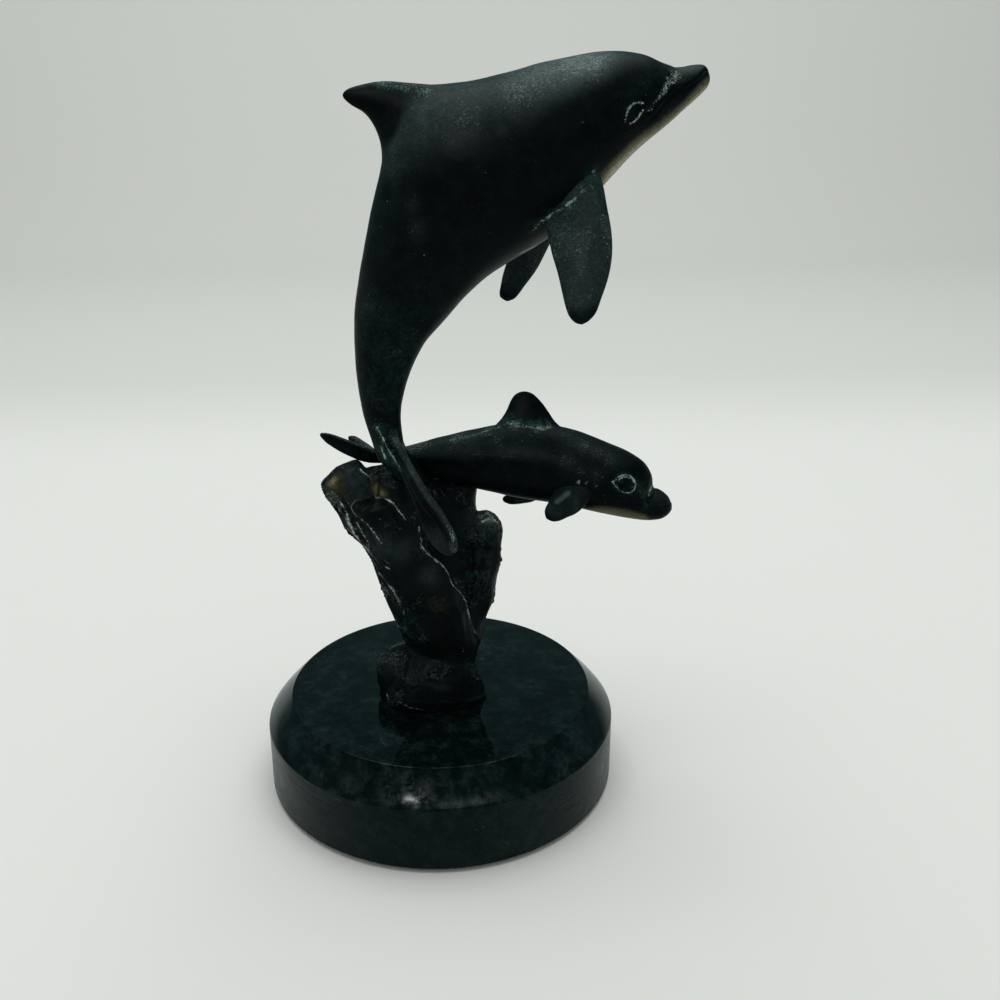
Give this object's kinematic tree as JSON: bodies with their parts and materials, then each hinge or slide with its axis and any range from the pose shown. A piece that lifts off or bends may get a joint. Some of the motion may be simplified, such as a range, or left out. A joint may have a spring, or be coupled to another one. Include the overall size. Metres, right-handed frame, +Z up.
{
  "type": "dolphin sculpture",
  "caption": "Patinated bronze figurine: an adult dolphin leaps above a calf, both carried by a branching rock stump on a bevelled round marble base with a felt underside.",
  "frame": {"origin": "centre of the round base's flat underside, which is the felt that rests on the table", "axes": "+Z up out of the base, +X the way both dolphins swim, +Y to the dolphins' left, away from the side that the picture shows"},
  "size_m": [0.1182, 0.1016, 0.2025],
  "materials": {
    "marble": "polished",
    "felt": "matte",
    "steel": "satin",
    "rock_bronze": "satin",
    "dolphin_bronze": "satin"
  },
  "bodies": {
    "root": {"marble_base": "marble", "felt_pad": "felt", "mounting_stud": "steel", "stud_washer": "steel", "stud_nut": "steel", "rock_stump": "rock_bronze", "adult_dolphin": "dolphin_bronze", "adult_right_flipper": "dolphin_bronze", "adult_left_flipper": "dolphin_bronze", "calf_dolphin": "dolphin_bronze", "calf_right_flipper": "dolphin_bronze", "calf_left_flipper": "dolphin_bronze", "adult_tail_pin": "steel", "calf_belly_pin": "steel"}
  },
  "joints": []
}
